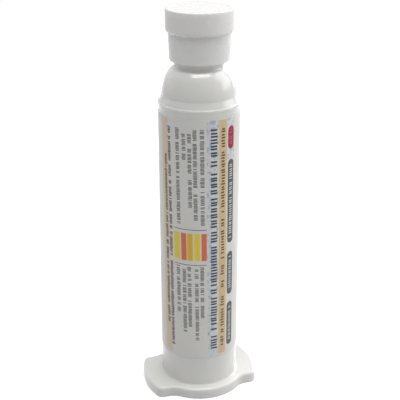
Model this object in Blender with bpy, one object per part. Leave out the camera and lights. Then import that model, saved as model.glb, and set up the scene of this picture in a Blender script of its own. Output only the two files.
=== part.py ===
"""White dispensing syringe of flux gel, standing on its finger flange.

Metres, +Z up, origin on the floor at the syringe's axis, +X along the flange's two ears.
The barrel is one moulding: finger flange, tube, rim, domed shoulder, lock collar and nozzle.
A push-on cap closes the nozzle, a printed label wraps the tube, and a wiper piston
behind the gel closes the open end, where a plunger or an air line goes in.
"""

import math

import bmesh
import bpy

# Barrel tube
BARREL_RADIUS = 0.0093
BARREL_WALL = 0.0014
SHOULDER_HEIGHT = 0.07465
SHOULDER_SLOPE = 0.0018
RIM_HEIGHT = 0.0005
RIM_STANDS_OUT = 0.0001
RIM_EDGE = 0.0003

# Finger flange
FLANGE_THICKNESS = 0.0028
FLANGE_RADIUS = 0.01125
EAR_STANDS_OUT = 0.00285
EAR_WIDTH = 0.0151
EAR_CORNER = 0.001
EAR_NOTCH = 0.001
FLANGE_EDGE = 0.0006

# Open end of the bore, with the ridge that keeps the piston in
MOUTH_CHAMFER = 0.0006
RIDGE_ABOVE_FLANGE = 0.0006
RIDGE_WIDTH = 0.0012
RIDGE_DEPTH = 0.0003

# Domed shoulder: a wide curve from its foot, then a tighter crown that ends at the collar
DOME_STEP = 0.0007
DOME_CURVE = 0.0125
DOME_START = math.radians(4)
CROWN_START = math.radians(24)
CROWN_CURVE = 0.0045
DOME_FOOT_EDGE = 0.0002
INNER_DOME_CURVE = 0.009
BORE_STOPS_BELOW_SHOULDER = 0.00215

# Lock collar and nozzle
COLLAR_RADIUS = 0.00566
COLLAR_BORE = 0.004
COLLAR_ABOVE_SHOULDER = 0.01503
COLLAR_RECESS = 0.0066
COLLAR_EDGE = 0.0002
COLLAR_FOOT_EDGE = 0.0005
NOZZLE_TIP_RADIUS = 0.002
NOZZLE_BASE_RADIUS = 0.0022
NOZZLE_BORE = 0.0013
NOZZLE_PROUD = 0.0021
NOZZLE_EDGE = 0.00015

# Push-on cap
CAP_GAP = 0.00145
CAP_CLEARANCE = 0.00015
CAP_LENGTH = 0.01153
CAP_HEAD_HEIGHT = 0.00543
CAP_HEAD_SLOPE = 0.00085
CAP_SLOPE_EDGE = 0.0008
CAP_HEAD_RADIUS = 0.00766
CAP_SKIRT_TOP_RADIUS = 0.00712
CAP_SKIRT_END_RADIUS = 0.00672
CAP_EDGE = 0.0005
CAP_HUB_WALL = 0.0009
CAP_TIP_GAP = 0.0003
CAP_CAVITY_GAP = 0.0003

# Piston
PISTON_LENGTH = 0.0115
PISTON_CLEARANCE = 0.0001
PISTON_REAR_GAP = 0.0003
PISTON_LIP_HEIGHT = 0.0022
PISTON_WAIST = 0.0007
PISTON_WALL = 0.0014
PISTON_FRONT_WALL = 0.0018
PISTON_EDGE = 0.0003

# Gel charge
GEL_GAP = 0.0003
GEL_BELOW_TIP = 0.001

# Label
LABEL_BOTTOM = 0.01065
LABEL_HEIGHT = 0.06035
LABEL_WIDTH = 0.0545
LABEL_GAP = 0.00005
LABEL_THICKNESS = 0.00012
LABEL_FACES = math.radians(-17)

# Smoothness of round work
TURN_STEPS = 48
CROWN_STEPS = 4
DOME_STEPS = 4
INNER_DOME_STEPS = 9
FILLET_STEPS = 3
SHARP_ANGLE = math.radians(35)
MERGE_DISTANCE = 1e-7

# Heights and radii that follow from the sizes above
BORE_RADIUS = BARREL_RADIUS - BARREL_WALL
BORE_TOP = SHOULDER_HEIGHT - BORE_STOPS_BELOW_SHOULDER
RIDGE_BOTTOM = FLANGE_THICKNESS + RIDGE_ABOVE_FLANGE
RIDGE_TOP = RIDGE_BOTTOM + RIDGE_WIDTH
EAR_REACH = FLANGE_RADIUS + EAR_STANDS_OUT
DOME_BASE_RADIUS = BARREL_RADIUS - DOME_STEP
DOME_CENTRE = (
    DOME_BASE_RADIUS - DOME_CURVE * math.cos(DOME_START),
    SHOULDER_HEIGHT - DOME_CURVE * math.sin(DOME_START),
)
CROWN_CENTRE = (
    DOME_CENTRE[0] + (DOME_CURVE - CROWN_CURVE) * math.cos(CROWN_START),
    DOME_CENTRE[1] + (DOME_CURVE - CROWN_CURVE) * math.sin(CROWN_START),
)
CROWN_END = math.acos((COLLAR_RADIUS - CROWN_CENTRE[0]) / CROWN_CURVE)
DOME_TOP = CROWN_CENTRE[1] + CROWN_CURVE * math.sin(CROWN_END)
INNER_DOME_CENTRE = (BORE_RADIUS - INNER_DOME_CURVE, BORE_TOP)
COLLAR_TOP = SHOULDER_HEIGHT + COLLAR_ABOVE_SHOULDER
RECESS_FLOOR = COLLAR_TOP - COLLAR_RECESS
NOZZLE_TIP = COLLAR_TOP + NOZZLE_PROUD
CAP_BOTTOM = DOME_TOP + CAP_GAP
PISTON_REAR = RIDGE_TOP + PISTON_REAR_GAP
PISTON_FRONT = PISTON_REAR + PISTON_LENGTH


def arc(centre, radius, start, end, steps):
    """Points on a circle from one angle to another, both ends included."""
    turn = (end - start) / steps
    angles = [start + turn * step for step in range(steps + 1)]
    return [(centre[0] + radius * math.cos(a), centre[1] + radius * math.sin(a)) for a in angles]


def fillet(before, corner, after, radius):
    """Arc of the given radius that rounds one corner of an outline."""
    to_before = (before[0] - corner[0], before[1] - corner[1])
    to_after = (after[0] - corner[0], after[1] - corner[1])
    length_before = math.hypot(*to_before)
    length_after = math.hypot(*to_after)
    first = (to_before[0] / length_before, to_before[1] / length_before)
    second = (to_after[0] / length_after, to_after[1] / length_after)
    opening = math.acos(max(-1.0, min(1.0, first[0] * second[0] + first[1] * second[1])))
    cut_back = min(radius / math.tan(opening / 2), 0.45 * length_before, 0.45 * length_after)
    fitted = cut_back * math.tan(opening / 2)
    middle = (first[0] + second[0], first[1] + second[1])
    reach = fitted / math.sin(opening / 2) / math.hypot(*middle)
    centre = (corner[0] + middle[0] * reach, corner[1] + middle[1] * reach)
    start = (corner[0] + first[0] * cut_back, corner[1] + first[1] * cut_back)
    start_angle = math.atan2(start[1] - centre[1], start[0] - centre[0])
    side = first[0] * second[1] - first[1] * second[0]
    sweep = math.copysign(math.pi - opening, -side)
    return arc(centre, fitted, start_angle, start_angle + sweep, FILLET_STEPS)


def rounded(corners, closed):
    """Outline from (x, y) points and (x, y, radius) corners, each corner with its fillet."""
    points = []
    last = len(corners) - 1
    for index, corner in enumerate(corners):
        has_fillet = len(corner) == 3 and (closed or 0 < index < last)
        if has_fillet:
            after = corners[(index + 1) % len(corners)]
            points.extend(fillet(corners[index - 1], corner, after, corner[2]))
        else:
            points.append((corner[0], corner[1]))
    return points


def surface(name, colour, roughness):
    """Plain plastic, film or gel finish."""
    material = bpy.data.materials.new(name)
    material.use_nodes = True
    shader = material.node_tree.nodes["Principled BSDF"]
    shader.inputs["Base Color"].default_value = (*colour, 1)
    shader.inputs["Roughness"].default_value = roughness
    shader.inputs["Metallic"].default_value = 0
    return material


def finish_mesh(name, bm, material):
    """Turns the working mesh into an object with smooth round faces and its own material."""
    bmesh.ops.remove_doubles(bm, verts=bm.verts, dist=MERGE_DISTANCE)
    bmesh.ops.recalc_face_normals(bm, faces=bm.faces)
    mesh = bpy.data.meshes.new(name)
    bm.to_mesh(mesh)
    bm.free()
    if material:
        mesh.materials.append(material)
    mesh.shade_smooth()
    mesh.set_sharp_from_angle(angle=SHARP_ANGLE)
    piece = bpy.data.objects.new(name, mesh)
    bpy.context.collection.objects.link(piece)
    return piece


def turned(name, section, closed, material):
    """Solid turned about Z from a section of (radius, height) points.

    An open section starts and ends on the axis.
    """
    bm = bmesh.new()
    points = [bm.verts.new((radius, 0, height)) for radius, height in section]
    following = points[1:] + points[:1] if closed else points[1:]
    edges = [bm.edges.new(pair) for pair in zip(points, following)]
    bmesh.ops.spin(
        bm, geom=points + edges, cent=(0, 0, 0), axis=(0, 0, 1),
        angle=2 * math.pi, steps=TURN_STEPS, use_merge=True,
    )
    return finish_mesh(name, bm, material)


def bore_section():
    """Inside of the barrel, from the chamfered mouth up to the nozzle's bore."""
    neck_angle = math.acos((NOZZLE_BORE - INNER_DOME_CENTRE[0]) / INNER_DOME_CURVE)
    ramp = RIDGE_WIDTH / 3
    mouth = [
        (BORE_RADIUS + MOUTH_CHAMFER, 0),
        (BORE_RADIUS, MOUTH_CHAMFER),
        (BORE_RADIUS, RIDGE_BOTTOM),
        (BORE_RADIUS - RIDGE_DEPTH, RIDGE_BOTTOM + ramp),
        (BORE_RADIUS - RIDGE_DEPTH, RIDGE_TOP - ramp),
        (BORE_RADIUS, RIDGE_TOP),
    ]
    return mouth + arc(INNER_DOME_CENTRE, INNER_DOME_CURVE, 0, neck_angle, INNER_DOME_STEPS)


def nozzle_section():
    """Nozzle and lock collar, from the nozzle's bore over both rims to the collar's foot."""
    return [
        (NOZZLE_BORE, NOZZLE_TIP),
        (NOZZLE_TIP_RADIUS, NOZZLE_TIP, NOZZLE_EDGE),
        (NOZZLE_BASE_RADIUS, RECESS_FLOOR),
        (COLLAR_BORE, RECESS_FLOOR),
        (COLLAR_BORE, COLLAR_TOP, COLLAR_EDGE),
        (COLLAR_RADIUS, COLLAR_TOP, COLLAR_EDGE),
    ]


def shoulder_section():
    """Outside of the barrel, from the collar's foot down the dome, the slope and the rim."""
    rim_radius = BARREL_RADIUS + RIM_STANDS_OUT
    rim_top = SHOULDER_HEIGHT - SHOULDER_SLOPE
    rim_bottom = rim_top - RIM_HEIGHT
    crown = arc(CROWN_CENTRE, CROWN_CURVE, CROWN_END, CROWN_START, CROWN_STEPS)
    dome = arc(DOME_CENTRE, DOME_CURVE, CROWN_START, DOME_START, DOME_STEPS)
    return [
        (*crown[0], COLLAR_FOOT_EDGE),
        *crown[1:],
        *dome[1:-1],
        (*dome[-1], DOME_FOOT_EDGE),
        (rim_radius, rim_top, RIM_EDGE),
        (rim_radius, rim_bottom),
        (BARREL_RADIUS, rim_bottom - RIM_STANDS_OUT),
        (BARREL_RADIUS, 0),
    ]


def flange_outline():
    """Plan of the flange: a disc with an ear at each end of X, its corners and notches rounded."""
    half_width = EAR_WIDTH / 2
    ear_angle = math.asin(half_width / EAR_REACH)
    notch_angle = math.asin(half_width / FLANGE_RADIUS)
    turn_step = 2 * math.pi / TURN_STEPS
    ear_steps = 2 * max(2, round(ear_angle / turn_step))
    disc_steps = 2 * max(2, round((math.pi / 2 - notch_angle) / turn_step))
    ear = arc((0, 0), EAR_REACH, -ear_angle, ear_angle, ear_steps)
    disc = arc((0, 0), FLANGE_RADIUS, notch_angle, math.pi - notch_angle, disc_steps)
    half = [
        (*ear[0], EAR_CORNER),
        *ear[1:-1],
        (*ear[-1], EAR_CORNER),
        (*disc[0], EAR_NOTCH),
        *disc[1:-1],
        (*disc[-1], EAR_NOTCH),
    ]
    other_half = [(-x, -y, *radius) for x, y, *radius in half]
    return rounded(half + other_half, closed=True)


def flange_plate():
    """Flange on its own, with a hole that ends inside the barrel's wall."""
    root_radius = BARREL_RADIUS - BARREL_WALL / 2
    outline = flange_outline()
    bm = bmesh.new()
    rim = [bm.verts.new((x, y, 0)) for x, y in outline]
    shares = [root_radius / math.hypot(x, y) for x, y in outline]
    root = [bm.verts.new((x * share, y * share, 0)) for (x, y), share in zip(outline, shares)]
    count = len(outline)
    bottom = []
    for index in range(count):
        after = (index + 1) % count
        bottom.append(bm.faces.new((rim[index], rim[after], root[after], root[index])))
    made = bmesh.ops.extrude_face_region(bm, geom=bottom, use_keep_orig=True)
    lifted = [item for item in made["geom"] if isinstance(item, bmesh.types.BMVert)]
    bmesh.ops.translate(bm, verts=lifted, vec=(0, 0, FLANGE_THICKNESS))
    outside = (root_radius + FLANGE_RADIUS) / 2
    level_rims = [
        edge for edge in bm.edges
        if all(math.hypot(*vert.co.xy) > outside for vert in edge.verts)
        and abs(edge.verts[0].co.z - edge.verts[1].co.z) < MERGE_DISTANCE
    ]
    bmesh.ops.bevel(
        bm, geom=level_rims, offset=FLANGE_EDGE, segments=FILLET_STEPS,
        profile=0.5, affect="EDGES", clamp_overlap=True,
    )
    return finish_mesh("flange_guide", bm, None)


def make_barrel():
    """Barrel moulding, with the flange joined on."""
    corners = bore_section() + nozzle_section() + shoulder_section()
    section = rounded(corners, closed=True)
    barrel = turned("barrel", section, True, surface("barrel_plastic", (0.86, 0.86, 0.85), 0.32))
    plate = flange_plate()
    plate.hide_render = True
    plate.display_type = "WIRE"
    joined = barrel.modifiers.new("flange", "BOOLEAN")
    joined.operation = "UNION"
    joined.solver = "EXACT"
    joined.object = plate
    return barrel


def make_cap():
    """Push-on cap: wide head, tapered skirt over the collar and a hub over the nozzle."""
    hub_end = RECESS_FLOOR + CAP_CAVITY_GAP - CAP_BOTTOM
    hub_bore = NOZZLE_BASE_RADIUS + CAP_CLEARANCE
    hub_radius = hub_bore + CAP_HUB_WALL
    hub_top = NOZZLE_TIP + CAP_TIP_GAP - CAP_BOTTOM
    cavity_top = COLLAR_TOP + CAP_CAVITY_GAP - CAP_BOTTOM
    cavity_radius = COLLAR_RADIUS + CAP_CLEARANCE
    head_bottom = CAP_LENGTH - CAP_HEAD_HEIGHT
    corners = [
        (0, hub_top),
        (NOZZLE_TIP_RADIUS + CAP_CLEARANCE, hub_top),
        (hub_bore, hub_end),
        (hub_radius, hub_end),
        (hub_radius, cavity_top),
        (cavity_radius, cavity_top),
        (cavity_radius, 0),
        (CAP_SKIRT_END_RADIUS, 0, CAP_EDGE),
        (CAP_SKIRT_TOP_RADIUS, head_bottom),
        (CAP_HEAD_RADIUS, head_bottom + CAP_HEAD_SLOPE, CAP_SLOPE_EDGE),
        (CAP_HEAD_RADIUS, CAP_LENGTH, CAP_EDGE),
        (0, CAP_LENGTH),
    ]
    section = rounded(corners, closed=False)
    cap = turned("cap", section, False, surface("cap_plastic", (0.87, 0.865, 0.85), 0.36))
    cap.location = (0, 0, CAP_BOTTOM)
    return cap


def make_piston():
    """Wiper piston: a flat front, two wiping lips and a hollow rear."""
    lip_radius = BORE_RADIUS - PISTON_CLEARANCE
    waist_radius = lip_radius - PISTON_WAIST
    hollow_radius = waist_radius - PISTON_WALL
    hollow_top = PISTON_LENGTH - PISTON_FRONT_WALL
    front_lip = PISTON_LENGTH - PISTON_LIP_HEIGHT
    corners = [
        (0, hollow_top),
        (hollow_radius, hollow_top, PISTON_EDGE),
        (hollow_radius, 0),
        (lip_radius, 0, PISTON_EDGE),
        (lip_radius, PISTON_LIP_HEIGHT, PISTON_EDGE),
        (waist_radius, PISTON_LIP_HEIGHT),
        (waist_radius, front_lip),
        (lip_radius, front_lip, PISTON_EDGE),
        (lip_radius, PISTON_LENGTH, PISTON_EDGE),
        (0, PISTON_LENGTH),
    ]
    section = rounded(corners, closed=False)
    piston = turned("piston", section, False, surface("piston_plastic", (0.80, 0.81, 0.80), 0.45))
    piston.location = (0, 0, PISTON_REAR)
    return piston


def make_gel():
    """Gel charge: fills the bore from the piston up through the dome into the nozzle."""
    gel_radius = BORE_RADIUS - GEL_GAP
    dome_curve = INNER_DOME_CURVE - GEL_GAP
    neck_radius = NOZZLE_BORE - GEL_GAP
    neck_angle = math.acos((neck_radius - INNER_DOME_CENTRE[0]) / dome_curve)
    section = [
        (0, PISTON_FRONT + GEL_GAP),
        (gel_radius, PISTON_FRONT + GEL_GAP),
        *arc(INNER_DOME_CENTRE, dome_curve, 0, neck_angle, INNER_DOME_STEPS),
        (neck_radius, NOZZLE_TIP - GEL_BELOW_TIP),
        (0, NOZZLE_TIP - GEL_BELOW_TIP),
    ]
    return turned("flux_gel", section, False, surface("gel", (0.72, 0.44, 0.10), 0.12))


def make_label():
    """Label film wrapped round the tube, its middle turned to LABEL_FACES from the front, -Y."""
    inner = BARREL_RADIUS + LABEL_GAP
    outer = inner + LABEL_THICKNESS
    sweep = LABEL_WIDTH / inner
    start = LABEL_FACES - math.pi / 2 - sweep / 2
    direction = (math.cos(start), math.sin(start))
    top = LABEL_BOTTOM + LABEL_HEIGHT
    section = [(inner, LABEL_BOTTOM), (outer, LABEL_BOTTOM), (outer, top), (inner, top)]
    bm = bmesh.new()
    corners = [bm.verts.new((r * direction[0], r * direction[1], z)) for r, z in section]
    end_face = bm.faces.new(corners)
    bmesh.ops.spin(
        bm, geom=[end_face, *end_face.edges, *corners], cent=(0, 0, 0), axis=(0, 0, 1),
        angle=sweep, steps=TURN_STEPS - 2,
    )
    return finish_mesh("label", bm, surface("label_film", (0.88, 0.88, 0.86), 0.4))


def main():
    for old in list(bpy.data.objects):
        bpy.data.objects.remove(old)
    make_barrel()
    make_label()
    make_cap()
    make_piston()
    make_gel()


main()
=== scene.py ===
# Looks of the flux syringe: white moulded barrel and push-on cap, printed label, piston and gel.
# Shapes below are written in millimetres and turned into metres where the mesh is made.
import math

import bpy
import numpy as np
from mathutils import Matrix, Vector


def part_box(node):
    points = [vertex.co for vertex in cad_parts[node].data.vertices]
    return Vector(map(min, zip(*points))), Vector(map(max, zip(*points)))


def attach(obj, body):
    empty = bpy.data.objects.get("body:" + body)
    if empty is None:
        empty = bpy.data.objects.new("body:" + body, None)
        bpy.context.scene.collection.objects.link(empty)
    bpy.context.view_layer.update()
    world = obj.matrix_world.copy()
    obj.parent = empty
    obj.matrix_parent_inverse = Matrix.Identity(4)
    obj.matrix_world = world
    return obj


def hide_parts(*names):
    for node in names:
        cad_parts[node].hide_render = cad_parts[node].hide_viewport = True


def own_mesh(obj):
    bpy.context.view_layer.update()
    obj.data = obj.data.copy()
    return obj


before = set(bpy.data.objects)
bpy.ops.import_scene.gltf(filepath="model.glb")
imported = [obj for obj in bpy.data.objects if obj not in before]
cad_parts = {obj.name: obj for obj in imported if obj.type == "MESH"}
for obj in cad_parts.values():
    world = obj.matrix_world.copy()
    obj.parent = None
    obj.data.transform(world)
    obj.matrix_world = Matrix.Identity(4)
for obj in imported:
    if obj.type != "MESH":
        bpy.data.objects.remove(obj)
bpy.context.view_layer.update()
millimetres = 1000  # in a metre
sharpAngle = math.radians(50)  # edges that turn more than this stay crisp


def boxOf(node):
    # lowest and highest corner of a solid, in millimetres
    low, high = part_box(node)
    return np.array(low) * millimetres, np.array(high) * millimetres


_, barrelHigh = boxOf("barrel")
capLow, capHigh = boxOf("cap")
labelLow, labelHigh = boxOf("label")
pistonLow, pistonHigh = boxOf("piston")
gelLow, gelHigh = boxOf("flux_gel")
viewTurn = math.radians(-17)  # the printed front and the camera both face this way from -Y


# Shapes

def roundedPath(corners, arcSteps=6, support=0.08):
    # Outline from (radius, height) points and (radius, height, rounding) corners. A rounding
    # is the arc that touches both sides of its corner, and a short straight bit each side
    # of it keeps the flats next to it flat. All corners are worked out at once.
    supportShare = 0.35  # of what an arc leaves of its side, at most
    straightest = -0.9999  # cosine of the flattest corner
    shortest = 1e-9  # so that a straight corner doesn't divide by nothing
    spots = np.array([corner[:2] for corner in corners], float)
    rounding = np.array([corner[2] if len(corner) > 2 else 0 for corner in corners], float)
    toBefore = np.roll(spots, 1, axis=0) - spots
    toAfter = np.roll(spots, -1, axis=0) - spots
    lengthBefore = np.hypot(toBefore[:, 0], toBefore[:, 1])[:, None]
    lengthAfter = np.hypot(toAfter[:, 0], toAfter[:, 1])[:, None]
    toBefore = toBefore / lengthBefore
    toAfter = toAfter / lengthAfter
    halfOpening = np.arccos(np.clip((toBefore * toAfter).sum(axis=1), straightest, 1)) / 2
    cutBack = (rounding / np.tan(halfOpening))[:, None]
    bisector = toBefore + toAfter
    bisector = bisector / np.maximum(np.hypot(bisector[:, 0], bisector[:, 1]), shortest)[:, None]
    centre = spots + bisector * (rounding / np.sin(halfOpening))[:, None]
    first = spots + toBefore * cutBack
    last = spots + toAfter * cutBack
    lead = first + toBefore * np.clip(supportShare * (lengthBefore - cutBack), 0, support)
    tail = last + toAfter * np.clip(supportShare * (lengthAfter - cutBack), 0, support)
    startAngle = np.arctan2(first[:, 1] - centre[:, 1], first[:, 0] - centre[:, 0])
    side = toBefore[:, 0] * toAfter[:, 1] - toBefore[:, 1] * toAfter[:, 0]
    sweep = -np.sign(side) * (math.pi - 2 * halfOpening)
    angle = startAngle[:, None] + sweep[:, None] * np.linspace(0, 1, arcSteps + 1)
    arcs = centre[:, None] + rounding[:, None, None] * np.stack([np.cos(angle), np.sin(angle)], -1)
    points = np.concatenate([lead[:, None], arcs, tail[:, None]], axis=1)
    isPoint = rounding == 0
    points[isPoint, 0] = spots[isPoint]
    kept = np.ones(points.shape[:2], bool)
    kept[isPoint, 1:] = False
    return points[kept]


def arcPath(centre, radius, start, end, steps):
    # points of one arc, both ends included, angles in radians from the outward direction
    angle = np.linspace(start, end, steps + 1)
    across = centre[0] + radius * np.cos(angle)
    up = centre[1] + radius * np.sin(angle)
    return [tuple(point) for point in np.stack([across, up], -1)]


def evenTurns(count):
    # angles shared out evenly round the axis
    return np.linspace(0, 2 * math.pi, count, endpoint=False)


def gridFaces(rows, columns, rowsMeet, columnsMeet=True):
    # four corners of every cell of a grid, which may close on itself either way
    row = np.arange(rows if rowsMeet else rows - 1)[:, None]
    column = np.arange(columns if columnsMeet else columns - 1)[None]
    nextRow = (row + 1) % rows
    nextColumn = (column + 1) % columns
    corners = [row * columns + column, row * columns + nextColumn,
               nextRow * columns + nextColumn, nextRow * columns + column]
    return np.stack(np.broadcast_arrays(*corners), -1).reshape(-1, 4)


def enclosedVolume(points, quads):
    # six times the signed volume, from the two triangles of each cell
    a, b, c, d = (points[quads[:, corner]] for corner in range(4))
    return (a * np.cross(b, c)).sum() + (a * np.cross(c, d)).sum()


def addPiece(name, points, quads, fans, material, body, replaced=None):
    # a closed mesh with its faces out, riding on its body
    if enclosedVolume(points, quads) < 0:
        quads = quads[:, ::-1]
        fans = [fan[::-1] for fan in fans]
    mesh = bpy.data.meshes.new(name)
    mesh.from_pydata((points / millimetres).tolist(), [], quads.tolist() + [list(fan) for fan in fans])
    mesh.shade_smooth()
    mesh.set_sharp_from_angle(angle=sharpAngle)
    mesh.materials.append(material)
    piece = bpy.data.objects.new(name, mesh)
    bpy.context.collection.objects.link(piece)
    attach(piece, body)
    if replaced:
        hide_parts(replaced)
    print("made", name, len(mesh.polygons), "faces")
    return piece


def turnedPiece(name, path, turns, material, body, replaced, reach=None):
    # Section rows carried round the axis: x = radius cos turn, y = radius sin turn.
    # reach(radius, turns), if given, says how far out a row lies at each turn.
    # A section that starts on the axis is closed there by a fan at each end.
    onAxis = path[0][0] == 0
    rows = path[1:-1] if onAxis else path
    radius = reach(rows[:, 0], turns) if reach else np.repeat(rows[:, :1], len(turns), axis=1)
    height = np.repeat(rows[:, 1:], len(turns), axis=1)
    points = np.stack([radius * np.cos(turns), radius * np.sin(turns), height], -1).reshape(-1, 3)
    quads = gridFaces(len(rows), len(turns), rowsMeet=not onAxis)
    fans = []
    if onAxis:
        count = len(points)
        points = np.concatenate([points, [[0, 0, path[0][1]], [0, 0, path[-1][1]]]])
        column = np.arange(len(turns))
        after = np.roll(column, -1)
        lastRow = count - len(turns)
        start = np.stack([np.full_like(column, count), after, column], -1)
        end = np.stack([np.full_like(column, count + 1), lastRow + column, lastRow + after], -1)
        fans = start.tolist() + end.tolist()
    return addPiece(name, points, quads, fans, material, body, replaced)


# Materials

def link(tree, value, socket):
    # a number or colour sets the socket, anything else is joined to it
    if isinstance(value, bpy.types.NodeSocket):
        tree.links.new(value, socket)
    else:
        socket.default_value = value


def maths(tree, operation, *values):
    node = tree.nodes.new("ShaderNodeMath")
    node.operation = operation
    for value, socket in zip(values, node.inputs):
        link(tree, value, socket)
    return node.outputs[0]


def times(tree, first, *others):
    # the product of all the values
    product = first
    for other in others:
        product = maths(tree, "MULTIPLY", product, other)
    return product


def paint(tree, amount, under, over):
    # over laid on under where amount is 1; the node's colours are inputs 6 and 7 and output 2
    node = tree.nodes.new("ShaderNodeMix")
    node.data_type = "RGBA"
    link(tree, amount, node.inputs[0])
    link(tree, (*under, 1) if isinstance(under, tuple) else under, node.inputs[6])
    link(tree, (*over, 1) if isinstance(over, tuple) else over, node.inputs[7])
    return node.outputs[2]


def placed(tree, scale, turn=0.0):
    # the piece's own coordinates, turned about the axis and scaled
    coordinates = tree.nodes.new("ShaderNodeTexCoord")
    mapping = tree.nodes.new("ShaderNodeMapping")
    tree.links.new(coordinates.outputs["Object"], mapping.inputs["Vector"])
    mapping.inputs["Rotation"].default_value = (0, 0, turn)
    mapping.inputs["Scale"].default_value = scale
    return mapping.outputs["Vector"]


def noise(tree, vector, scale, detail, roughness=0.5):
    node = tree.nodes.new("ShaderNodeTexNoise")
    tree.links.new(vector, node.inputs["Vector"])
    node.inputs["Scale"].default_value = scale
    node.inputs["Detail"].default_value = detail
    node.inputs["Roughness"].default_value = roughness
    return node.outputs["Fac"]


def remap(tree, value, fromLow, fromHigh, toLow, toHigh):
    node = tree.nodes.new("ShaderNodeMapRange")
    link(tree, value, node.inputs["Value"])
    limits = {"From Min": fromLow, "From Max": fromHigh, "To Min": toLow, "To Max": toHigh}
    for name, limit in limits.items():
        node.inputs[name].default_value = limit
    return node.outputs["Result"]


def clouds(tree, vector, cloud, low=0.0, high=1.0):
    # noise whose middle stretch runs from low to high; cloud = (scale, detail, stretch start, end)
    scale, detail, start, end = cloud
    return remap(tree, noise(tree, vector, scale, detail), start, end, low, high)


def bump(tree, height, strength, distance, under=None):
    node = tree.nodes.new("ShaderNodeBump")
    link(tree, height, node.inputs["Height"])
    node.inputs["Strength"].default_value = strength
    node.inputs["Distance"].default_value = distance
    if under:
        tree.links.new(under, node.inputs["Normal"])
    return node.outputs["Normal"]


def startMaterial(name, **sockets):
    # a Principled material with its plain numbers set on its own sockets
    material = bpy.data.materials.new(name)
    material.use_nodes = True
    tree = material.node_tree
    shader = tree.nodes["Principled BSDF"]
    for socket, value in sockets.items():
        shader.inputs[socket.replace("_", " ")].default_value = value
    return material, tree, shader


# Scales are per mm and bump heights in metres. scratchSpread, per metre, makes the scratches
# short up and down and long round the axis.
mouldedSurface = dict(
    tintCloud=(0.09, 3.0, 0.35, 0.7), glossCloud=(0.35, 3.0, 0.3, 0.7), waveScale=0.16, waveHeight=0.0006,
    grainScale=5.0, grainStrength=0.05, grainHeight=0.00003, scratchSpread=(900, 900, 16000),
    scratchRoughness=0.65, scratchStretch=(0.56, 0.72), scratchDulls=0.07, scratchStrength=0.06,
    scratchHeight=0.00002,
)


def mouldedPlastic(name, look):
    # Half-gloss moulding: a slow cloud in colour and gloss, shallow flow waves
    # and fine handling scratches that run mostly round the axis.
    s = mouldedSurface
    material, tree, shader = startMaterial(
        name, Subsurface_Weight=look["depth"], Subsurface_Radius=(1.0, 0.93, 0.82),
        Subsurface_Scale=0.0013, IOR=1.49, Coat_Weight=look["sheen"], Coat_Roughness=0.12,
    )
    whole = placed(tree, (millimetres,) * 3)
    colour = paint(tree, clouds(tree, whole, s["tintCloud"]), look["colour"], look["tint"])
    tree.links.new(colour, shader.inputs["Base Color"])
    scratch = noise(tree, placed(tree, s["scratchSpread"]), 1.0, 3.0, s["scratchRoughness"])
    worn = remap(tree, scratch, *s["scratchStretch"], 0.0, 1.0)
    gloss = clouds(tree, whole, s["glossCloud"], look["smooth"], look["rough"])
    tree.links.new(maths(tree, "MULTIPLY_ADD", worn, s["scratchDulls"], gloss), shader.inputs["Roughness"])
    waves = bump(tree, noise(tree, whole, s["waveScale"], 1.0), look["waves"], s["waveHeight"])
    grain = bump(tree, noise(tree, whole, s["grainScale"], 2.0), s["grainStrength"], s["grainHeight"], waves)
    scratched = bump(tree, worn, s["scratchStrength"], s["scratchHeight"], grain)
    tree.links.new(scratched, shader.inputs["Normal"])
    return material


# Barrel moulding, from the flange up

barrelShape = dict(
    # tube
    radius=9.3, wall=1.4, turnSteps=336,
    # finger flange with two ears
    flangeRadius=barrelHigh[1], flangeThickness=2.8, earReach=barrelHigh[0], earWidth=15.1, endRadius=17.0,
    cornerRounding=1.0, topEdge=0.6, bottomEdge=0.3, rootRounding=0.4, rootMargin=0.2, edgeMargin=0.12,
    # raised rim, its shelf and the slope up to the shoulder
    rimHeight=0.5, rimOut=0.1, rimTaper=0.3, rimRounding=0.12, rimFootRounding=0.2,
    shoulder=74.65, slopeHeight=1.6, shelf=0.26, shelfFall=0.1, shelfRounding=0.25,
    # dome and crown, whose arcs leave a lead and a tail free for the roundings at their ends
    domeStep=0.7, domeFootRounding=0.2, domeCurve=12.5, domeStart=math.radians(4), arcLead=math.radians(2),
    crownStart=math.radians(24), crownCurve=5.5, crownTail=math.radians(7), domeSteps=16,
    # lock collar and nozzle
    collarRadius=5.66, collarBore=4.0, collarFoot=0.9, rimEdge=0.25, recessDepth=6.6, recessRounding=0.3,
    nozzleProud=2.1, nozzleRoot=2.2, tipRadius=2.0, nozzleBore=1.3, tipRounding=0.18, tipBoreRounding=0.12,
    # bore, with the ridge that keeps the piston in
    boreTop=72.5, innerDomeCurve=9.0, innerDomeSteps=20, mouthChamfer=0.6, mouthRounding=0.06,
    ridgeLow=3.4, ridgeHigh=4.6, ridgeDepth=0.3, ridgeRounding=0.1,
)
barrelLook = dict(
    colour=(0.755, 0.752, 0.73), tint=(0.78, 0.776, 0.75), smooth=0.17, rough=0.22,
    depth=0.6, sheen=0.6, waves=0.05,
)


def planDistance(x, y, size):
    # Distance outside the flange's outline: a disc joined to two ears. The ears are a slab
    # whose two ends are flatter curves, each round a centre on the other side of the axis.
    # Where two forms meet, the lengths of their distances past the rounding are combined,
    # which rounds the corner.
    disc = np.hypot(x, y) - size["flangeRadius"]
    endCentre = size["endRadius"] - size["earReach"]
    end = np.hypot(np.abs(x) + endCentre, y) - size["endRadius"]
    slab = np.abs(y) - size["earWidth"] / 2
    r = size["cornerRounding"]
    ears = np.minimum(-r, np.maximum(end, slab))
    ears = ears + np.hypot(np.maximum(r + end, 0), np.maximum(r + slab, 0))
    either = np.maximum(r, np.minimum(disc, ears))
    return either - np.hypot(np.maximum(r - disc, 0), np.maximum(r - ears, 0))


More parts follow.
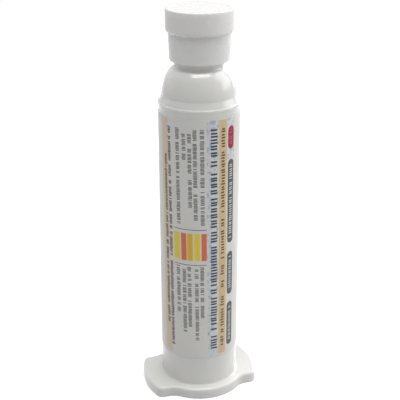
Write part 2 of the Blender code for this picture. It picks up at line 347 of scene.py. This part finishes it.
def outlineRadius(inset, turns, size):
    # where each ray from the axis meets the outline moved in by inset, found by halving
    halvings = 40
    low = np.full((len(inset), len(turns)), size["radius"])
    high = np.full_like(low, size["earReach"] + 1)
    for _ in range(halvings):
        middle = (low + high) / 2
        outside = planDistance(middle * np.cos(turns), middle * np.sin(turns), size) > -inset[:, None]
        high = np.where(outside, middle, high)
        low = np.where(outside, low, middle)
    return (low + high) / 2


def flangeTurns(size):
    # Angles round the flange, closer together where its outline bends: the length of the
    # outline and the angle that it turns through are added up and shared out evenly.
    fineSteps = 14400
    lengthShare = 0.6
    fine = np.linspace(0, 2 * math.pi, fineSteps + 1)
    radius = outlineRadius(np.zeros(1), fine, size)[0]
    x, y = radius * np.cos(fine), radius * np.sin(fine)
    along = np.hypot(np.diff(x), np.diff(y))
    heading = np.unwrap(np.arctan2(np.diff(y), np.diff(x)))
    bend = np.abs(np.diff(heading, append=heading[-1]))
    share = lengthShare * along / along.sum() + (1 - lengthShare) * bend / bend.sum()
    total = np.concatenate([[0], np.cumsum(share)])
    count = size["turnSteps"]
    return np.interp(np.arange(count) / count, total / total[-1], fine)


def barrelReach(radius, turns, size):
    # Rows up to the root of the flange are round. Rows near its rim follow the outline,
    # as far inside it as they lie inside the disc, and those between are blended.
    root = size["radius"] + size["rootRounding"] + size["rootMargin"]
    rim = size["flangeRadius"] - size["topEdge"] - size["edgeMargin"]
    edge = outlineRadius(np.array([size["flangeRadius"] - rim]), turns, size)
    share = np.clip((radius - root) / (rim - root), 0, 1)[:, None]
    reached = radius[:, None] + share * (edge - rim)
    atRim = radius >= rim
    reached[atRim] = outlineRadius(size["flangeRadius"] - radius[atRim], turns, size)
    return reached


def domePath(size):
    # outside of the dome: a wide curve from its foot, then a tighter crown, then the collar's foot
    b = size
    foot = b["radius"] - b["domeStep"]
    wide, tight = b["domeCurve"], b["crownCurve"]
    dome = (foot - wide * math.cos(b["domeStart"]), b["shoulder"] - wide * math.sin(b["domeStart"]))
    apart = wide - tight
    crown = (dome[0] + apart * math.cos(b["crownStart"]), dome[1] + apart * math.sin(b["crownStart"]))
    crownEnd = math.acos((b["collarRadius"] - crown[0]) / tight)
    domeTop = crown[1] + tight * math.sin(crownEnd)
    return [
        (foot, b["shoulder"], b["domeFootRounding"]),
        *arcPath(dome, wide, b["domeStart"] + b["arcLead"], b["crownStart"], b["domeSteps"]),
        *arcPath(crown, tight, b["crownStart"] + b["arcLead"], crownEnd - b["crownTail"], b["domeSteps"]),
        (b["collarRadius"], domeTop, b["collarFoot"]),
    ]


def barrelSection(size):
    # the whole moulding's section, once round: underside, flange, tube, dome, collar, nozzle, bore
    b = size
    bore = b["radius"] - b["wall"]
    tip = barrelHigh[2]
    collarTop = tip - b["nozzleProud"]
    floor = collarTop - b["recessDepth"]
    inner = (bore - b["innerDomeCurve"], b["boreTop"])
    neck = math.acos((b["nozzleBore"] - inner[0]) / b["innerDomeCurve"])
    rim = b["radius"] + b["rimOut"]
    rimTop = b["shoulder"] - b["slopeHeight"]
    rimLow = rimTop - b["rimHeight"]
    ramp = (b["ridgeHigh"] - b["ridgeLow"]) / 3
    crest = bore - b["ridgeDepth"]
    corners = [
        (bore + b["mouthChamfer"], 0, b["mouthRounding"]),
        (b["flangeRadius"], 0, b["bottomEdge"]),
        (b["flangeRadius"], b["flangeThickness"], b["topEdge"]),
        (b["radius"], b["flangeThickness"], b["rootRounding"]),
        (b["radius"], rimLow - b["rimTaper"], b["rimFootRounding"]),
        (rim, rimLow, b["rimFootRounding"]),
        (rim, rimTop, b["rimRounding"]),
        (rim - b["shelf"], rimTop + b["shelfFall"], b["shelfRounding"]),
        *domePath(size),
        (b["collarRadius"], collarTop, b["rimEdge"]),
        (b["collarBore"], collarTop, b["rimEdge"]),
        (b["collarBore"], floor, b["recessRounding"]),
        (b["nozzleRoot"], floor, b["recessRounding"]),
        (b["tipRadius"], tip, b["tipRounding"]),
        (b["nozzleBore"], tip, b["tipBoreRounding"]),
        *arcPath(inner, b["innerDomeCurve"], neck, 0, b["innerDomeSteps"]),
        (bore, b["ridgeHigh"], b["ridgeRounding"]),
        (crest, b["ridgeHigh"] - ramp, b["ridgeRounding"]),
        (crest, b["ridgeLow"] + ramp, b["ridgeRounding"]),
        (bore, b["ridgeLow"], b["ridgeRounding"]),
        (bore, b["mouthChamfer"], b["mouthRounding"]),
    ]
    return roundedPath(corners)


def makeBarrel():
    size = barrelShape
    material = mouldedPlastic("barrel_white", barrelLook)
    turnedPiece("barrel_shell", barrelSection(size), flangeTurns(size), material, "barrel",
                "barrel", reach=lambda radius, turns: barrelReach(radius, turns, size))
    makeCollarThread(size, material)


threadShape = dict(
    starts=2, pitch=2.6, turns=0.9, height=0.38, halfRoot=0.62, halfCrest=0.22, sink=0.15, below=0.7,
    fade=9, least=0.02, steps=120,
)


def makeCollarThread(size, material):
    # Two-start ridge inside the lock collar: a trapezoid carried along a helix, whose
    # height fades to nothing at both ends, height = full height x a quick rise and fall.
    t = threadShape
    collarTop = barrelHigh[2] - size["nozzleProud"]
    along = np.linspace(0, 1, t["steps"])
    rise = np.clip(np.minimum(along, 1 - along) * t["fade"], t["least"], 1)
    wall = size["collarBore"] + t["sink"]
    out = np.array([0, t["sink"] + t["height"], t["sink"] + t["height"], 0])
    side = np.array([-t["halfRoot"], -t["halfCrest"], t["halfCrest"], t["halfRoot"]])
    for start in range(t["starts"]):
        turn = 2 * math.pi * (start / t["starts"] + along * t["turns"])
        middle = collarTop - t["below"] - along * t["turns"] * t["pitch"]
        radius = wall - out * np.where(out > 0, rise[:, None], 1)
        height = middle[:, None] + side * rise[:, None]
        angle = np.repeat(turn[:, None], len(side), axis=1)
        points = np.stack([radius * np.cos(angle), radius * np.sin(angle), height], -1).reshape(-1, 3)
        # faces are worked out with the trapezoid's corners as rows, then numbered by step
        quads = gridFaces(len(side), t["steps"], True, False)
        quads = (quads % t["steps"]) * len(side) + quads // t["steps"]
        startEnd = np.arange(len(side))
        ends = [startEnd, (len(points) - len(side) + startEnd)[::-1]]
        addPiece(f"collar_thread_{start + 1}", points, quads, ends, material, "barrel")


# Push-on cap

capShape = dict(
    headRadius=capHigh[0], headHeight=5.22, slope=0.22, slopeEdge=0.8, topEdge=0.16, ledgeRounding=0.15,
    skirtTop=7.07, skirtEnd=6.81, edge=0.36, dish=0.12, dishRadius=6.3, dishRamp=0.4, dishRounding=0.3,
    clearance=0.15, aside=0.11, gap=0.3, hubWall=0.9, hubRounding=0.1, insideRounding=0.2,
    arcSteps=7, turnSteps=240,
)
capLook = dict(
    colour=(0.85, 0.845, 0.83), tint=(0.88, 0.87, 0.855), smooth=0.22, rough=0.3,
    depth=0.5, sheen=0.0, waves=0.06,
)


def capSection(size, barrel):
    # from the hub's closed end over the nozzle, down the skirt's inside, up the outside to the top
    c, b = size, barrel
    collarTop = barrelHigh[2] - b["nozzleProud"]
    hubEnd = collarTop - b["recessDepth"] + c["gap"]
    hubTop = barrelHigh[2] + c["gap"]
    hubBore = b["nozzleRoot"] + c["clearance"]
    hubOutside = hubBore + c["hubWall"]
    cavity = b["collarRadius"] + c["clearance"]
    cavityTop = collarTop + c["gap"]
    bottom, top = capLow[2], capHigh[2]
    headBottom = top - c["headHeight"]
    corners = [
        (0, hubTop),
        (b["tipRadius"] + c["clearance"], hubTop, c["hubRounding"]),
        (hubBore, hubEnd, c["hubRounding"]),
        (hubOutside, hubEnd, c["insideRounding"]),
        (hubOutside, cavityTop, c["insideRounding"]),
        (cavity, cavityTop, c["insideRounding"]),
        (cavity, bottom, c["insideRounding"]),
        (c["skirtEnd"], bottom, c["edge"]),
        (c["skirtTop"], headBottom, c["ledgeRounding"]),
        (c["headRadius"], headBottom + c["slope"], c["slopeEdge"]),
        (c["headRadius"], top, c["topEdge"]),
        (c["dishRadius"] + c["dishRamp"], top, c["dishRounding"]),
        (c["dishRadius"], top - c["dish"], c["dishRounding"]),
        (0, top - c["dish"]),
    ]
    return roundedPath(corners, arcSteps=c["arcSteps"])


def makeCap():
    c = capShape
    section = capSection(c, barrelShape)
    material = mouldedPlastic("cap_white", capLook)
    cap = turnedPiece("cap_shell", section, evenTurns(c["turnSteps"]), material, "cap", "cap")
    # pushed on by hand, it sits a little to one side within its clearance
    aside = c["aside"] / millimetres
    cap.data.transform(Matrix.Translation((aside * math.cos(viewTurn), aside * math.sin(viewTurn), 0)))


# Piston

pistonShape = dict(
    lipHeight=2.2, waist=0.7, wall=1.4, frontWall=1.8, edge=0.3, waistRounding=0.25,
    hollowRounding=0.5, rearRounding=0.15, turnSteps=192,
)
pistonLook = dict(
    colour=(0.72, 0.74, 0.73), tint=(0.78, 0.79, 0.77), smooth=0.38, rough=0.5,
    depth=0.3, sheen=0.0, waves=0.08,
)


def makePiston():
    # two wiping lips with a waist between, flat front, hollow rear
    p = pistonShape
    lip = pistonHigh[0]
    bottom, top = pistonLow[2], pistonHigh[2]
    waist = lip - p["waist"]
    hollow = waist - p["wall"]
    corners = [
        (0, top - p["frontWall"]),
        (hollow, top - p["frontWall"], p["hollowRounding"]),
        (hollow, bottom, p["rearRounding"]),
        (lip, bottom, p["edge"]),
        (lip, bottom + p["lipHeight"], p["edge"]),
        (waist, bottom + p["lipHeight"], p["waistRounding"]),
        (waist, top - p["lipHeight"], p["waistRounding"]),
        (lip, top - p["lipHeight"], p["edge"]),
        (lip, top, p["edge"]),
        (0, top),
    ]
    turns = evenTurns(p["turnSteps"])
    material = mouldedPlastic("piston_white", pistonLook)
    turnedPiece("piston_body", roundedPath(corners), turns, material, "piston", "piston")


# Gel charge

gelShape = dict(gap=0.3, edge=0.2, domeSteps=18, turnSteps=144)
gelLook = dict(
    colour=(0.72, 0.42, 0.10), deep=(0.52, 0.26, 0.05), cloud=(0.3, 4.0, 0.35, 0.65),
    lumpScale=0.5, lumpStrength=0.3, lumpHeight=0.0005,
)


def gelMaterial(look):
    # amber gel: clouded colour, a wet surface with soft lumps
    material, tree, shader = startMaterial(
        "amber_gel", Roughness=0.08, IOR=1.47, Transmission_Weight=0.35,
        Subsurface_Weight=0.35, Subsurface_Radius=(1.0, 0.55, 0.15), Subsurface_Scale=0.0025,
    )
    whole = placed(tree, (millimetres,) * 3)
    colour = paint(tree, clouds(tree, whole, look["cloud"]), look["deep"], look["colour"])
    tree.links.new(colour, shader.inputs["Base Color"])
    lumps = bump(tree, noise(tree, whole, look["lumpScale"], 2.0), look["lumpStrength"], look["lumpHeight"])
    tree.links.new(lumps, shader.inputs["Normal"])
    return material


def makeGel():
    # Fills the bore, the dome and the nozzle. As the piston comes up, all of it flattens towards
    # the top of the bore.
    b, g = barrelShape, gelShape
    bore = b["radius"] - b["wall"]
    inner = (bore - b["innerDomeCurve"], b["boreTop"])
    curve = b["innerDomeCurve"] - g["gap"]
    neck = b["nozzleBore"] - g["gap"]
    neckAngle = math.acos((neck - inner[0]) / curve)
    corners = [
        (0, gelLow[2]),
        (gelHigh[0], gelLow[2], g["edge"]),
        *arcPath(inner, curve, 0, neckAngle, g["domeSteps"]),
        (neck, gelHigh[2], g["edge"]),
        (0, gelHigh[2]),
    ]
    turns = evenTurns(g["turnSteps"])
    material = gelMaterial(gelLook)
    piece = turnedPiece("gel_charge", roundedPath(corners), turns, material, "barrel", "flux_gel")
    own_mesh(piece)


# Label: leftLean, up to leanFrom round the tube, and rightLean, from leanTo on, are mm sideways
# for each mm above straightHeight.

labelShape = dict(
    radius=9.315, thickness=0.06, width=54.5, edge=0.02, edgeSteps=3, edgeSupport=0.04, steps=260,
    printTurn=viewTurn + math.radians(0.8), leanFrom=-1.0, leanTo=3.0, leftLean=0.014, rightLean=0.0045,
    straightHeight=41.0,
)
labelLook = dict(
    film=(0.785, 0.78, 0.753), ink=(0.035, 0.035, 0.035), navy=(0.035, 0.045, 0.075),
    greyPill=(0.105, 0.114, 0.114), crimson=(0.41, 0.022, 0.052), peach=(0.755, 0.565, 0.33),
    palePeach=(0.80, 0.67, 0.53), brown=(0.09, 0.05, 0.025), paleBlue=(0.60, 0.70, 0.80),
    blue=(0.40, 0.52, 0.66), redOrange=(0.815, 0.205, 0.10), yellow=(0.89, 0.73, 0.065),
    ochre=(0.85, 0.525, 0.06), brick=(0.77, 0.22, 0.11), olive=(0.885, 0.71, 0.106),
)
labelSurface = dict(
    filmCloud=(0.12, 3.0, 0.35, 0.7), filmLightens=1.03, mottle=(0.9, 3.0, 0.35, 0.65), mottleMost=0.45,
    glossCloud=(0.4, 3.0, 0.3, 0.7), smooth=0.34, rough=0.46, waveScale=0.2, waveStrength=0.08,
    waveHeight=0.0006, grainScale=6.0, grainStrength=0.04, grainHeight=0.00003,
)

# Fields of plain colour: colour, left and right in mm round the tube from the printed front's
# middle, then upper and lower height above the floor.
labelFields = [
    ("palePeach", -9.95, -7.65, 70.8, 11.1),
    ("peach", 4.60, 6.68, 70.8, 11.1),
    ("redOrange", 0.40, 1.63, 43.8, 36.9),
    ("yellow", -1.28, 0.02, 43.8, 36.9),
    ("ochre", -2.92, -1.63, 43.8, 36.9),
    ("brick", -4.42, -3.12, 43.8, 36.9),
    ("olive", -6.36, -4.72, 43.8, 36.9),
    ("navy", -6.3, 1.63, 44.82, 44.68),
    ("navy", -6.3, 1.63, 35.83, 35.69),
]

# Pale strips, placed as the fields are, and the discs scattered on them: how far apart they
# lie, least and greatest radius as shares of that, strength of their colour.
stripFields = [(1.75, 4.45, 70.9, 11.0), (6.75, 9.2, 70.9, 60.8)]
stripDiscs = [(1.7, 0.05, 0.42, 0.75), (0.9, 0.0, 0.36, 0.5)]

# Pills: colour, upper and lower height. All lie on one line up the tube and are as wide.
pillMiddle = 8.05
pillHalf = 0.97
labelPills = [
    ("crimson", 68.9, 63.5), ("greyPill", 61.0, 40.2), ("greyPill", 37.9, 26.6), ("greyPill", 24.5, 12.6),
]

# Rows of small plain marks, none of them a letter: middle round the tube, upper and lower height.
smallRows = [
    (0.75, 68.9, 45.7), (-0.8, 68.9, 47.2), (-2.02, 67.9, 50.3), (-3.37, 67.9, 61.6), (-4.94, 69.0, 46.0),
    (0.5, 35.5, 21.7), (-0.84, 34.8, 15.6), (-2.54, 35.4, 19.3), (-3.8, 34.6, 17.7), (-5.32, 35.4, 22.8),
]
sideRows = [(-7.27, 69.0, 13.2), (-8.6, 62.2, 19.0)]
bandRows = [(5.66, 69.2, 12.6)]
headingRows = [(3.36, 68.9, 12.6)]
crimsonRows = [(pillMiddle, 68.0, 64.6)]
pillRows = [(pillMiddle, 59.8, 41.4), (pillMiddle, 36.8, 27.8), (pillMiddle, 23.3, 13.8)]

# For each kind of row: half its height, the shortest bar's share of it, a cell's pitch along the
# row, how far a cell's bars lie from its middle, their stroke, shares of missing bars and blank
# cells, and the first row's seed, which grows by rowSeedStep from row to row.
smallMarks = dict(half=0.5, shortest=0.72, pitch=0.62, spread=(0.13, 0.19), stroke=0.175,
                  missing=0.1, blanks=0.09, seed=3.1)
sideMarks = dict(half=0.5, shortest=0.6, pitch=0.62, spread=(0.14, 0.18), stroke=0.215,
                 missing=0.08, blanks=0.09, seed=41.9)
bandMarks = dict(half=0.54, shortest=0.6, pitch=1.38, spread=(0.27, 0.42), stroke=0.38,
                 missing=0.1, blanks=0.08, seed=12.3)
headingMarks = dict(half=0.8, shortest=0.9, pitch=1.5, spread=(0.34, 0.5), stroke=0.42,
                    missing=0.1, blanks=0.08, seed=24.9)
pillMarks = dict(half=0.56, shortest=0.7, pitch=1.1, spread=(0.22, 0.36), stroke=0.24,
                 missing=0.12, blanks=0.05, seed=31.7)
rowSeedStep = 1.37
barsFrom = 571.0  # bars are numbered from here, so that their draws aren't those of the cells

# Which rows have which marks, their colour and how strongly it covers.
labelMarks = [
    (smallRows, smallMarks, "ink", 0.97),
    (sideRows, sideMarks, "ink", 0.97),
    (bandRows, bandMarks, "brown", 0.95),
    (headingRows, headingMarks, "navy", 0.97),
    (crimsonRows, pillMarks, "film", 0.2),
    (pillRows, pillMarks, "film", 0.95),
]


def within(tree, value, low, high):
    # 1 between the two values
    return maths(tree, "COMPARE", value, (low + high) / 2, (high - low) / 2)


def inField(tree, around, up, left, right, top, bottom):
    # 1 inside an upright field of the print
    return times(tree, within(tree, around, left, right), within(tree, up, bottom, top))


def cellRandom(tree, cell, row):
    # three random numbers for each cell of each row
    combine = tree.nodes.new("ShaderNodeCombineXYZ")
    tree.links.new(cell, combine.inputs[0])
    tree.links.new(row, combine.inputs[1])
    random = tree.nodes.new("ShaderNodeTexWhiteNoise")
    random.noise_dimensions = "2D"
    tree.links.new(combine.outputs[0], random.inputs["Vector"])
    split = tree.nodes.new("ShaderNodeSeparateColor")
    tree.links.new(random.outputs["Color"], split.inputs[0])
    return split.outputs[0], split.outputs[1], split.outputs[2]


def markRows(tree, around, up, rows, size):
    # Plain marks along each row: two short bars to a cell, bar number = floor(2 x height / pitch).
    # Each bar has ends of its own, some bars and cells are left out.
    half = size["half"]
    shortest = half * size["shortest"]
    inRows, offset, rowNumber = 0.0, 0.0, 0.0
    for number, (middle, top, bottom) in enumerate(rows):
        mask = inField(tree, around, up, middle - half, middle + half, top, bottom)
        inRows = maths(tree, "ADD", inRows, mask)
        offset = maths(tree, "MULTIPLY_ADD", mask, maths(tree, "SUBTRACT", around, middle), offset)
        rowNumber = maths(tree, "MULTIPLY_ADD", mask, size["seed"] + number * rowSeedStep, rowNumber)
    cell = maths(tree, "DIVIDE", up, size["pitch"])
    bar = maths(tree, "MULTIPLY_ADD", cell, 2.0, barsFrom)
    spread, _, blank = cellRandom(tree, maths(tree, "FLOOR", cell), rowNumber)
    highEnd, lowEnd, missing = cellRandom(tree, maths(tree, "FLOOR", bar), rowNumber)
    fromCentre = maths(tree, "SUBTRACT", maths(tree, "FRACT", cell), 0.5)
    along = maths(tree, "ABSOLUTE", times(tree, fromCentre, size["pitch"]))
    barPlace = remap(tree, spread, 0, 1, *size["spread"])
    barTop = remap(tree, highEnd, 0, 1, shortest, half)
    barBottom = remap(tree, lowEnd, 0, 1, -half, -shortest)
    bars = times(
        tree, maths(tree, "COMPARE", along, barPlace, size["stroke"] / 2),
        maths(tree, "LESS_THAN", offset, barTop), maths(tree, "GREATER_THAN", offset, barBottom),
        maths(tree, "GREATER_THAN", missing, size["missing"]),
    )
    shown = times(tree, inRows, maths(tree, "GREATER_THAN", blank, size["blanks"]))
    return times(tree, bars, shown)


def scatteredDiscs(tree, around, up, apart, low, high):
    # 1 where the nearest scattered point is closer than a radius of its own, from low to high
    combine = tree.nodes.new("ShaderNodeCombineXYZ")
    tree.links.new(around, combine.inputs[0])
    tree.links.new(up, combine.inputs[1])
    cells = tree.nodes.new("ShaderNodeTexVoronoi")
    cells.voronoi_dimensions = "2D"
    cells.inputs["Scale"].default_value = 1 / apart
    tree.links.new(combine.outputs[0], cells.inputs["Vector"])
    split = tree.nodes.new("ShaderNodeSeparateColor")
    tree.links.new(cells.outputs["Color"], split.inputs[0])
    limit = remap(tree, split.outputs[0], 0, 1, low, high)
    return maths(tree, "LESS_THAN", cells.outputs["Distance"], limit)


def inPill(tree, around, up, top, bottom):
    # 1 where the distance to the line down the pill's middle is under its half width
    middle = (top + bottom) / 2
    run = (top - bottom) / 2 - pillHalf
    fromMiddle = maths(tree, "ABSOLUTE", maths(tree, "SUBTRACT", up, middle))
    beyond = maths(tree, "MAXIMUM", maths(tree, "SUBTRACT", fromMiddle, run), 0.0)
    aside = maths(tree, "SUBTRACT", around, pillMiddle)
    squares = maths(tree, "MULTIPLY_ADD", beyond, beyond, times(tree, aside, aside))
    return maths(tree, "LESS_THAN", squares, pillHalf ** 2)


def labelMaterial(look, shape):
    # Printed film. around = angle from the printed front x radius, up = height, both in mm.
    s = labelSurface
    material, tree, shader = startMaterial("printed_film", IOR=1.47, Specular_IOR_Level=0.25)
    whole = placed(tree, (millimetres,) * 3, turn=-shape["printTurn"])
    axes = tree.nodes.new("ShaderNodeSeparateXYZ")
    tree.links.new(whole, axes.inputs[0])
    angle = maths(tree, "ARCTAN2", axes.outputs[0], times(tree, axes.outputs[1], -1.0))
    straight = times(tree, angle, shape["radius"])
    up = axes.outputs[2]
    # the film was wound on a little askew: its left part leans to the right on the way down
    lean = remap(tree, straight, shape["leanFrom"], shape["leanTo"], shape["leftLean"], shape["rightLean"])
    above = maths(tree, "SUBTRACT", up, shape["straightHeight"])
    around = maths(tree, "MULTIPLY_ADD", above, lean, straight)
    lightFilm = tuple(channel * s["filmLightens"] for channel in look["film"])
    colour = paint(tree, clouds(tree, whole, s["filmCloud"]), look["film"], lightFilm)
    strip = 0.0
    for field in stripFields:
        strip = maths(tree, "ADD", strip, inField(tree, around, up, *field))
    mottle = clouds(tree, whole, s["mottle"], 0.0, s["mottleMost"])
    colour = paint(tree, times(tree, strip, mottle), colour, look["paleBlue"])
    for apart, low, high, strength in stripDiscs:
        discs = times(tree, strip, scatteredDiscs(tree, around, up, apart, low, high))
        colour = paint(tree, times(tree, discs, strength), colour, look["blue"])
    for name, *field in labelFields:
        colour = paint(tree, inField(tree, around, up, *field), colour, look[name])
    for name, top, bottom in labelPills:
        colour = paint(tree, inPill(tree, around, up, top, bottom), colour, look[name])
    for rows, marks, name, strength in labelMarks:
        shown = markRows(tree, around, up, rows, marks)
        colour = paint(tree, times(tree, shown, strength), colour, look[name])
    tree.links.new(colour, shader.inputs["Base Color"])
    tree.links.new(clouds(tree, whole, s["glossCloud"], s["smooth"], s["rough"]), shader.inputs["Roughness"])
    waves = bump(tree, noise(tree, whole, s["waveScale"], 2.0), s["waveStrength"], s["waveHeight"])
    grain = bump(tree, noise(tree, whole, s["grainScale"], 2.0), s["grainStrength"], s["grainHeight"], waves)
    tree.links.new(grain, shader.inputs["Normal"])
    return material


def makeLabel():
    # the film's thin section carried round the tube, with its two ends closed
    f = labelShape
    inner = f["radius"]
    outer = inner + f["thickness"]
    bottom, top = labelLow[2], labelHigh[2]
    corners = [(inner, bottom), (outer, bottom, f["edge"]), (outer, top, f["edge"]), (inner, top)]
    path = roundedPath(corners, arcSteps=f["edgeSteps"], support=f["edgeSupport"])
    sweep = f["width"] / inner
    turns = np.linspace(-sweep / 2, sweep / 2, f["steps"]) + viewTurn - math.pi / 2
    radius = np.repeat(path[:, :1], len(turns), axis=1)
    height = np.repeat(path[:, 1:], len(turns), axis=1)
    points = np.stack([radius * np.cos(turns), radius * np.sin(turns), height], -1).reshape(-1, 3)
    quads = gridFaces(len(path), len(turns), True, False)
    startEnd = np.arange(len(path)) * len(turns)
    ends = [startEnd, (startEnd + len(turns) - 1)[::-1]]
    addPiece("label_film", points, quads, ends, labelMaterial(labelLook, f), "barrel", "label")


# Stage: lengths are in metres here, angles in degrees.

cameraPlace = dict(
    location=(-0.0580, -0.1897, 0.1304), pitch=22.5, sensor=36, lens=81.4, shift=(0.0021, 0.002), clip=0.01,
)

# Soft boxes aimed at the syringe's middle: name, turn from the camera's side to its right, rise,
# distance, width, height, power.
lampAim = Vector((0, 0, 0.045))
lamps = [
    ("key", 12, 73, 0.95, 0.8, 0.34, 4.55),
    ("ceiling", 0, 90, 1.2, 1.4, 1.4, 1.0),
    ("side", 101, 30, 0.7, 0.5, 0.6, 2.15),
    ("back", 150, 20, 0.7, 0.4, 0.6, 2.2),
    ("left", -120, 34, 0.4, 0.45, 0.4, 0.25),
]
ambient = 0.221
floorShape = dict(half=3.0, near=0.15, far=0.6)
floorLook = dict(lit=0.6, seen=1.6, nearWhite=0.6, roughness=0.9)


def makeCamera():
    c = cameraPlace
    data = bpy.data.cameras.new("camera")
    camera = bpy.data.objects.new("camera", data)
    bpy.context.collection.objects.link(camera)
    camera.location = c["location"]
    camera.rotation_euler = (math.radians(90 - c["pitch"]), 0, viewTurn)
    data.sensor_width = c["sensor"]
    data.lens = c["lens"]
    data.shift_x, data.shift_y = c["shift"]
    data.clip_start = c["clip"]
    bpy.context.scene.camera = camera


def addLamp(name, turn, rise, distance, width, height, power):
    data = bpy.data.lights.new(name, "AREA")
    data.shape = "RECTANGLE"
    data.size, data.size_y = width, height
    data.energy = power
    lamp = bpy.data.objects.new(name, data)
    bpy.context.collection.objects.link(lamp)
    turn, rise = viewTurn + math.radians(turn), math.radians(rise)
    away = Vector((math.sin(turn) * math.cos(rise), -math.cos(turn) * math.cos(rise), math.sin(rise)))
    lamp.location = lampAim + away * distance
    lamp.rotation_euler = away.to_track_quat("Z", "Y").to_euler()
    lamp.visible_camera = False


def seenDirectly(tree):
    # 1 for what the camera, a reflection or a clear piece shows
    path = tree.nodes.new("ShaderNodeLightPath")
    either = maths(tree, "MAXIMUM", path.outputs["Is Camera Ray"], path.outputs["Is Glossy Ray"])
    return maths(tree, "MAXIMUM", either, path.outputs["Is Transmission Ray"])


def makeWorld():
    # white where it is seen, a weak even light on everything
    world = bpy.data.worlds.new("studio")
    bpy.context.scene.world = world
    world.use_nodes = True
    tree = world.node_tree
    background = tree.nodes["Background"]
    background.inputs["Color"].default_value = (1, 1, 1, 1)
    strength = remap(tree, seenDirectly(tree), 0, 1, ambient, 1.0)
    tree.links.new(strength, background.inputs["Strength"])


def floorMaterial(shape, look):
    # Pale floor that takes the shadow. Where it is seen, plain white is mixed in: its share is
    # nearWhite round the object, so the shadow shows, and rises to all of it far away.
    material, tree, shader = startMaterial("pale_floor", Roughness=look["roughness"], Specular_IOR_Level=0.0)
    shown = seenDirectly(tree)
    colour = paint(tree, shown, (look["lit"],) * 3, (look["seen"],) * 3)
    tree.links.new(colour, shader.inputs["Base Color"])
    white = tree.nodes.new("ShaderNodeEmission")
    white.inputs["Strength"].default_value = 1
    mixed = tree.nodes.new("ShaderNodeMixShader")
    place = tree.nodes.new("ShaderNodeTexCoord")
    distance = tree.nodes.new("ShaderNodeVectorMath")
    distance.operation = "LENGTH"
    tree.links.new(place.outputs["Object"], distance.inputs[0])
    whiteShare = remap(tree, distance.outputs["Value"], shape["near"], shape["far"], look["nearWhite"], 1.0)
    tree.links.new(times(tree, shown, whiteShare), mixed.inputs[0])
    tree.links.new(shader.outputs[0], mixed.inputs[1])
    tree.links.new(white.outputs[0], mixed.inputs[2])
    tree.links.new(mixed.outputs[0], tree.nodes["Material Output"].inputs["Surface"])
    return material


def makeFloor():
    half = floorShape["half"]
    mesh = bpy.data.meshes.new("floor")
    corners = [(-half, -half, 0), (half, -half, 0), (half, half, 0), (-half, half, 0)]
    mesh.from_pydata(corners, [], [(0, 1, 2, 3)])
    mesh.materials.append(floorMaterial(floorShape, floorLook))
    floor = bpy.data.objects.new("floor", mesh)
    bpy.context.collection.objects.link(floor)


def makeStage():
    makeWorld()
    makeFloor()
    for lamp in lamps:
        addLamp(*lamp)
    bpy.context.scene.view_settings.view_transform = "Standard"
    print("stage ready")


makeCamera()
makeBarrel()
makeCap()
makePiston()
makeGel()
makeLabel()
makeStage()
